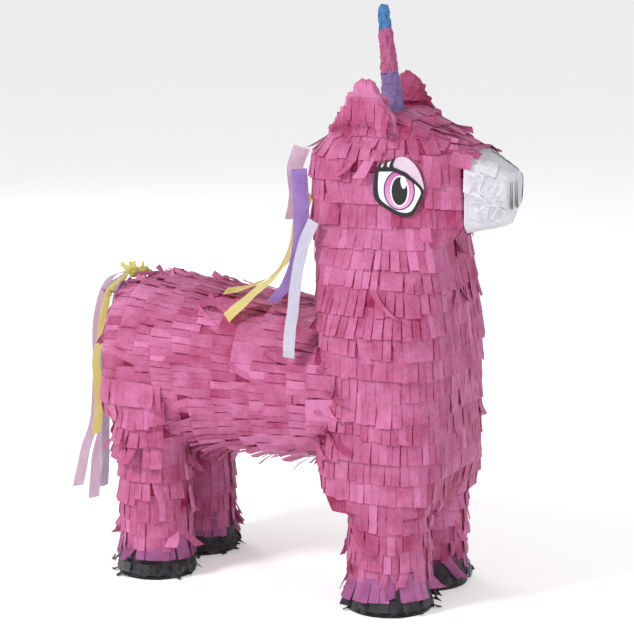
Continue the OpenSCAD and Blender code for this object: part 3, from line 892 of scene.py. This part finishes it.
def torn_tip(centre, radius, angle):
    """A small torn piece of hoof paper that lies on the floor"""
    s, w = np.linspace(0, 1, 5)[:, None], np.linspace(-0.5, 0.5, 4)[None, :]
    reach, wide = rng.uniform(6, 14) * MM, rng.uniform(5, 11) * MM
    out = np.array([math.cos(angle), math.sin(angle)])
    aside = np.array([-out[1], out[0]])
    forward, sideways = radius - 6 * MM + reach * s, w * wide * (1 - 0.5 * s)
    spread = out * forward[..., None] + aside * sideways[..., None]
    height = 5 * MM * (1 - s) ** 2 + 0.7 * MM + rng.uniform(0, 1.4, (5, 4)) * MM
    return np.concatenate([centre + spread, height[..., None]], -1)


for name in legs:
    leg(name)
    hoof(name)

# ---- ears


def wrapped(nodes, centre, size, depth, seed, columns=96, rows=48):
    """Creased paper over CAD nodes, seen from a point inside them: one grid of points"""
    tree = tree_of(*nodes)
    ways = all_round(np.linspace(-0.98, 1, rows) * math.pi / 2, columns)
    points = np.zeros_like(ways)
    for i, k in np.ndindex(rows, columns):
        way = Vector(ways[i, k])
        hit = tree.ray_cast(Vector(centre) + way * 0.2, -way, 0.2)
        points[i, k] = hit[0] if hit[0] is not None else centre
    return points + ways * (0.4 * MM + wrinkles(points, size, depth, seed))[..., None]


def ear(side):
    sign = SIDES[side]
    low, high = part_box(side + "_ear_wrap")
    centre = ((low.x + high.x) / 2, (low.y + high.y) / 2, low.z + 0.4 * (high.z - low.z))
    paper = Paper()
    paper.add(wrapped([side + "_ear_wrap"], centre, 8 * MM, 4.2 * MM, 3 + sign)[None],
              0.42 if sign < 0 else 0.14)
    wall = Wall([side + "_ear_wrap", "head_shell"], sign, (0.425, 0.05), (0.50, 0.16))
    for z, start, end in ((0.454, 0.066, 0.138), (0.466, 0.074, 0.131), (0.478, 0.084, 0.124)):
        hang(paper, wall, row(wall, z, start, end), length=21 * MM, under=1.4 * MM, mess=0.15)
    paper.finish(side + "_ear_tissue", PINK, "body", "pink_tissue", side + "_ear_wrap")


for side in SIDES:
    ear(side)

# ---- horn

HORN_BASE, HORN_TOP = np.array([0.113, 0, 0.456]), 0.560
HORN_LEAN = math.radians(-6.5)
HORN_AXIS = np.array([math.sin(HORN_LEAN), 0, math.cos(HORN_LEAN)])
HORN_LENGTH = (HORN_TOP - HORN_BASE[2]) / math.cos(HORN_LEAN)


def sleeve(name, material, slot, low, high, radii, seed, flare=0.0, point=0.0):
    """A piece of paper rolled round the horn between two shares of its length, with twisted creases"""
    t = np.linspace(low, high, 28)[:, None]
    turn = np.linspace(0, FLAT_TURN, 65)[None, :]
    side = np.array([0, 1.0, 0])
    front = np.cross(side, HORN_AXIS)
    radius = np.interp(t, [low, (low + high) / 2, high], radii)
    ridges = np.abs(np.sin(turn * 2.5 + t * 9 + seed))
    ridges = ridges + 0.6 * np.abs(np.sin(turn * 4 - t * 14 + seed * 2))
    radius = radius + (1.3 * MM) * (ridges - 0.9) * np.minimum(1, (high - t) * 30 + 0.3)
    along = (t - flare * (t < low + 0.02) * np.cos(turn / 2 - point) ** 12) * HORN_LENGTH
    points = (HORN_BASE + HORN_AXIS * along[..., None]
              + radius[..., None] * (front * np.cos(turn)[..., None] + side * np.sin(turn)[..., None]))
    points += wrinkles(points, 6 * MM, 0.9 * MM, seed)[..., None]
    paper = Paper()
    paper.add(points[None], 0.28)
    paper.finish(name, material, "body", slot, "horn_wrap_" + name.split("_")[1])


def horn():
    sleeve("horn_purple_tissue", PURPLE, "purple_tissue", -0.06, 0.44,
           [13.4 * MM, 9.6 * MM, 7.4 * MM], 1.0, flare=0.08, point=-0.7)
    sleeve("horn_pink_tissue", MAGENTA, "magenta_tissue", 0.415, 0.80,
           [7.9 * MM, 6.7 * MM, 6.1 * MM], 2.0)
    sleeve("horn_blue_tissue", BLUE, "blue_tissue", 0.78, 0.97,
           [5.4 * MM, 5.0 * MM, 4.9 * MM], 3.0)
    knob = Paper()
    ways = all_round(np.linspace(-1, 1, 17) * math.pi / 2, 33)
    tip = HORN_BASE + HORN_AXIS * HORN_LENGTH
    for place, size in (((0.4, 0, -4.4), (5.0, 4.8, 5.4)), ((4.2, -1, -5.6), (3.0, 2.6, 3.6))):
        ball = tip + np.array(place) * MM + ways * np.array(size) * MM
        knob.add((ball + ways * wrinkles(ball, 5 * MM, 1.5 * MM, 4)[..., None])[None], 0.3)
    knob.finish("horn_tip_tissue", BLUE, "body", "blue_tissue")


horn()

# ---- muzzle


def muzzle_patch(tree, centre, way, turn, size):
    """A square of thin paper laid on the muzzle's surface"""
    way = Vector(way).normalized()
    hit = tree.ray_cast(centre + way * 0.2, -way, 0.2)
    if hit[0] is None:
        return None
    out = hit[1] if hit[1].dot(way) > 0 else -hit[1]
    side = out.orthogonal().normalized()
    side.rotate(Matrix.Rotation(turn, 3, out))
    aside = out.cross(side)
    grid = np.zeros((7, 7, 3))
    for i, k in np.ndindex(7, 7):
        place = hit[0] + side * ((i - 3) / 6 * size) + aside * ((k - 3) / 6 * size)
        near = tree.find_nearest(place)
        normal = (place - centre).normalized()
        lift = 1.3 * MM + (0.4 * MM if max(abs(i - 3), abs(k - 3)) == 3 else 0)
        grid[i, k] = near[0] + normal * lift
    return grid


def muzzle():
    """Flat folded faces of thin white paper, with square patches, and two printed nostrils"""
    low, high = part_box("muzzle_wrap")
    tree = tree_of("muzzle_wrap")
    centre = Vector(((low.x + high.x) / 2, 0, (low.z + high.z) / 2))
    mesh = bpy.data.meshes.new("muzzle_tissue")
    build = bmesh.new()
    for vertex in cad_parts["muzzle_wrap"].data.vertices:
        way = (vertex.co - centre).normalized()
        build.verts.new(vertex.co + way * rng.uniform(-0.4, 0.8) * MM)
    bmesh.ops.convex_hull(build, input=build.verts)
    unused = [v for v in build.verts if not v.link_faces]
    bmesh.ops.delete(build, geom=unused, context="VERTS")
    build.to_mesh(mesh)
    build.free()
    set_tones(mesh, rng.uniform(0.2, 0.45, len(mesh.vertices)))
    made = piece(mesh, WHITE, "body")
    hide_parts("muzzle_wrap")
    patches = Paper()
    for _ in range(PATCHES):
        way = (rng.uniform(-0.3, 0.55), rng.choice([-1, 1]) * rng.uniform(0.5, 1), rng.normal(0, 0.5))
        patch = muzzle_patch(tree, centre, way, rng.uniform(0, 3), rng.uniform(12, 21) * MM)
        if patch is not None:
            patches.add(patch[None], rng.uniform(0.05, 0.5))
    patches.finish("muzzle_patches", WHITE, "body", "white_tissue")
    nostrils(high.x, (low.z + high.z) / 2)


def nostrils(front, middle):
    """Two narrow printed shapes, wider at the bottom"""
    for sign, label in ((-1, "right"), (1, "left")):
        x, y = front + 2.4 * MM, (sign * NOSTRIL_APART - NOSTRIL_SHIFT) * MM
        corners = [(x, y - 2.2 * MM, middle - 15 * MM), (x, y + 2.2 * MM, middle - 15 * MM),
                   (x, y + 1.2 * MM, middle + 10 * MM), (x, y - 1.2 * MM, middle + 10 * MM)]
        flat_print(label + "_nostril", corners, NOSTRIL)


PATCHES = 34
NOSTRIL_APART = 6.5       # millimetres from the middle of the pair
NOSTRIL_SHIFT = 3.4       # millimetres that the pair lies to the right of the muzzle's middle
NOSTRIL = faded("nostril_print", (10, 10, 12), (150, 150, 156), 0.394, 0.012)
muzzle()

# ---- ribbons


def spline(route):
    """A smooth line through all points of a route, in millimetres"""
    points = np.array(route, float) * MM
    points = np.concatenate([[2 * points[0] - points[1]], points, [2 * points[-1] - points[-2]]])
    return np.concatenate([curve(points[:-3], points[1:-2], points[2:-1], points[3:], 14), points[-2:-1]])


def ribbon(name, material, slot, body, route, turn, width=15.0, origin=(0, 0, 0)):
    """A strip of tissue along a route. Its width points as turn says at its two ends"""
    path = spline(np.array(route, float) + np.array(origin, float))
    way = np.gradient(path, axis=0)
    way /= np.linalg.norm(way, axis=1, keepdims=True)
    share = np.linspace(0, 1, len(path))[:, None]
    ends = [np.array(t, float) / np.linalg.norm(t) for t in turn]
    across = ends[0] * (1 - share) + ends[1] * share
    across -= (across * way).sum(1, keepdims=True) * way
    across /= np.linalg.norm(across, axis=1, keepdims=True)
    out = np.cross(way, across)
    w = np.linspace(-0.5, 0.5, 7)
    cup = 0.35 * MM * np.sin(share * rng.uniform(14, 22) + rng.uniform(0, 6)) * (1 - 4 * w ** 2)
    ripple = 0.3 * MM * np.sin(share * 33 + w * 5)
    points = (path[:, None] + across[:, None] * (w * width * MM)[None, :, None]
              + out[:, None] * (cup + ripple)[..., None])
    paper = Paper()
    paper.add(points[None], 0.3)
    made = paper.finish(name + "_tissue", material, body, slot, name)


MANE = {
    "yellow": (YELLOW, "yellow_tissue", 15, ([-0.35, -1, 0], [0.66, -0.58, -0.46]),
               [[42, -44, 388], [36, -46, 362], [28, -47, 332], [16, -48, 310], [-2, -52, 295],
                [-17, -60, 280], [-30, -66.5, 267]]),
    "gold": (GOLD, "gold_tissue", 15, ([-0.3, -1, 0], [0.1, -0.95, -0.3]),
             [[37, -26, 384], [28, -27, 356], [19, -27, 328], [4, -28, 307], [-16, -29, 295],
              [-35, -30, 288], [-50, -31, 285]]),
    "lilac": (LILAC, "lilac_tissue", 15, ([-0.8, -0.6, 0], [-0.7, -0.6, -0.4]),
              [[42, -56, 412], [46, -60, 384], [48, -64, 352], [46, -67, 328], [37, -68, 306],
               [20, -69, 287]]),
    "pink": (ROSE, "pale_pink_tissue", 16, ([-0.8, -0.6, 0.3], [-0.5, -1, 0.1]),
             [[37, -40, 430], [31, -42, 410], [33, -43, 385], [28, -43, 362]]),
    "white": (PALE, "white_tissue", 12, ([1, 0, 0.3], [1, 0, 0]),
              [[62, -66.5, 366], [53, -70, 342], [49, -76, 312], [49, -83, 284], [48, -88, 262],
               [47, -88.2, 240]]),
}
TAIL = {
    "yellow": (YELLOW, "yellow_tissue", 15, [0.1, 1, 0],
               [[-4, -16, -1], [-13, -31, -12], [-18, -37, -30], [-23, -38, -62], [-28, -39, -88],
                [-25, -40, -124], [-28, -41, -160]]),
    "pink": (ROSE, "pale_pink_tissue", 15, [0.3, 1, 0],
             [[-7, -3, 1], [-30, -6, -8], [-44, -8, -45], [-46, -8, -100], [-49, -9, -150],
              [-60, -12, -188], [-68, -14, -226]]),
    "rose": (ROSE, "pale_pink_tissue", 15, [0.3, 1, 0],
             [[-6, 13, -1], [-26, 12, -10], [-35, 9, -45], [-40, 7, -100], [-47, 5, -158],
              [-56, 3, -200], [-60, 3, -242]]),
    "lilac": (LILAC, "lilac_tissue", 15, [0.2, 1, 0],
              [[-5, -7, -6], [-12, -12, -14], [-14, -17, -30], [-14, -21, -52], [-14, -23, -82]]),
    "white": (PALE, "white_tissue", 12, [0.2, 1, 0],
              [[-8, -10, 0], [-24, -17, -13], [-30, -19, -42], [-31, -20, -100], [-30, -20, -160],
               [-33, -20, -220]]),
}
KNOT = np.array([-164, 0, 290])   # where the tail's routes start from
KNOT_ENDS = 13


def knot_end(centre):
    """A short crumpled end of ribbon that sticks out of the tail's knot"""
    way = rng.normal(size=3)
    way[0], way[2] = -abs(way[0]) - 0.5, abs(way[2]) * 0.5
    way /= np.linalg.norm(way)
    aside = np.cross(way, rng.normal(size=3))
    aside /= np.linalg.norm(aside)
    s, w = np.linspace(0, 1, 7)[:, None, None], np.linspace(-0.5, 0.5, 4)[None, :, None]
    reach, wide = rng.uniform(8, 15) * MM, rng.uniform(4, 8) * MM
    bend = np.cross(way, aside) * rng.normal(0, 5) * MM * s ** 2
    start = centre + np.array([0, rng.uniform(-9, 9) * MM, 0])
    return start + way * reach * s + aside * wide * w + bend + rng.normal(0, 0.4, (7, 4, 3)) * MM


def ribbons():
    for name, (material, slot, width, turn, route) in MANE.items():
        ribbon("mane_ribbon_" + name, material, slot, "body", route, turn, width)
    low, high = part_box("tail_knot")
    centre = ((low.x + high.x) / 2, (low.y + high.y) / 2, (low.z + high.z) / 2)
    knot = Paper()
    knot.add(wrapped(["tail_knot"], centre, 7 * MM, 3.0 * MM, 9, columns=64, rows=32)[None], 0.3)
    for _ in range(KNOT_ENDS):
        knot.add(knot_end(np.array(centre))[None], rng.uniform(0.1, 0.5))
    knot.finish("tail_knot_tissue", YELLOW, "tail", "yellow_tissue", "tail_knot")
    for name, (material, slot, width, turn, route) in TAIL.items():
        ribbon("tail_ribbon_" + name, material, slot, "tail", route, ([0, 1, 0], turn),
               width, KNOT)


ribbons()

# ---- card that shows

SHOWN_CARD = [
    (CARD, BARREL_PANELS + ["barrel_front_wall", "rump_shell"]),
    (CARD, ["muzzle_box", "horn_cone", "hanger_plate"]),
    (PINK, ["chest_shell", "neck_shell", "head_shell", "left_ear_card", "right_ear_card"]),
    (PINK, [leg + "_leg_tube" for leg in legs]),
    (BLACK, [leg + "_hoof_sole" for leg in legs]),
]

for material, names in SHOWN_CARD:
    for name in names:
        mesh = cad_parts[name].data
        mesh.materials.clear()
        mesh.materials.append(material)

# ---- camera, floor and light


FLOOR_GLOW, WORLD_GLOW = 0.32, 0.55
CAMERA_PLACE = (0.9529, -1.8818, 0.6860)
CAMERA_LOOK = Vector((-0.43033, 0.88052, -0.19877))
CAMERA_LENS = 126.27      # millimetres, for a sensor 36 wide
LIT_PLACE = Vector((0, 0, 0.25))   # where the lights point


def stage():
    """A pale floor that glows a little, under an even white sky"""
    bpy.ops.mesh.primitive_plane_add(size=60)
    floor = bpy.context.object
    floor.name = "floor"
    paint_of_floor = plain("floor_paint", (246, 246, 247), (248, 248, 249), roughness=0.9,
                           scale=3.0, bump_height=0.0)
    surface = paint_of_floor.node_tree.nodes["Principled BSDF"]
    surface.inputs["Emission Color"].default_value = (1, 1, 1, 1)
    surface.inputs["Emission Strength"].default_value = FLOOR_GLOW
    floor.data.materials.append(paint_of_floor)
    world = bpy.data.worlds.new("studio")
    bpy.context.scene.world = world
    world.use_nodes = True
    sky = world.node_tree.nodes["Background"]
    sky.inputs["Color"].default_value = (1, 1, 1, 1)
    sky.inputs["Strength"].default_value = WORLD_GLOW


def softbox(name, place, size, power):
    light = bpy.data.lights.new(name, "AREA")
    light.energy, light.size = power, size
    made = bpy.data.objects.new(name, light)
    made.location = place
    made.rotation_euler = (LIT_PLACE - Vector(place)).to_track_quat("-Z", "Y").to_euler()
    bpy.context.scene.collection.objects.link(made)


def camera():
    data = bpy.data.cameras.new("camera")
    data.lens, data.sensor_width = CAMERA_LENS, 36
    data.clip_end = 100
    made = bpy.data.objects.new("camera", data)
    made.location = CAMERA_PLACE
    made.rotation_euler = CAMERA_LOOK.to_track_quat("-Z", "Y").to_euler()
    bpy.context.scene.collection.objects.link(made)
    bpy.context.scene.camera = made


stage()
softbox("key", (-1.0, -1.7, 1.7), 0.5, 42)
softbox("fill", (2.2, -1.0, 1.2), 1.2, 15)
softbox("rim", (-1.8, 1.1, 1.3), 0.8, 12)
camera()
bpy.context.scene.view_settings.view_transform = "Standard"
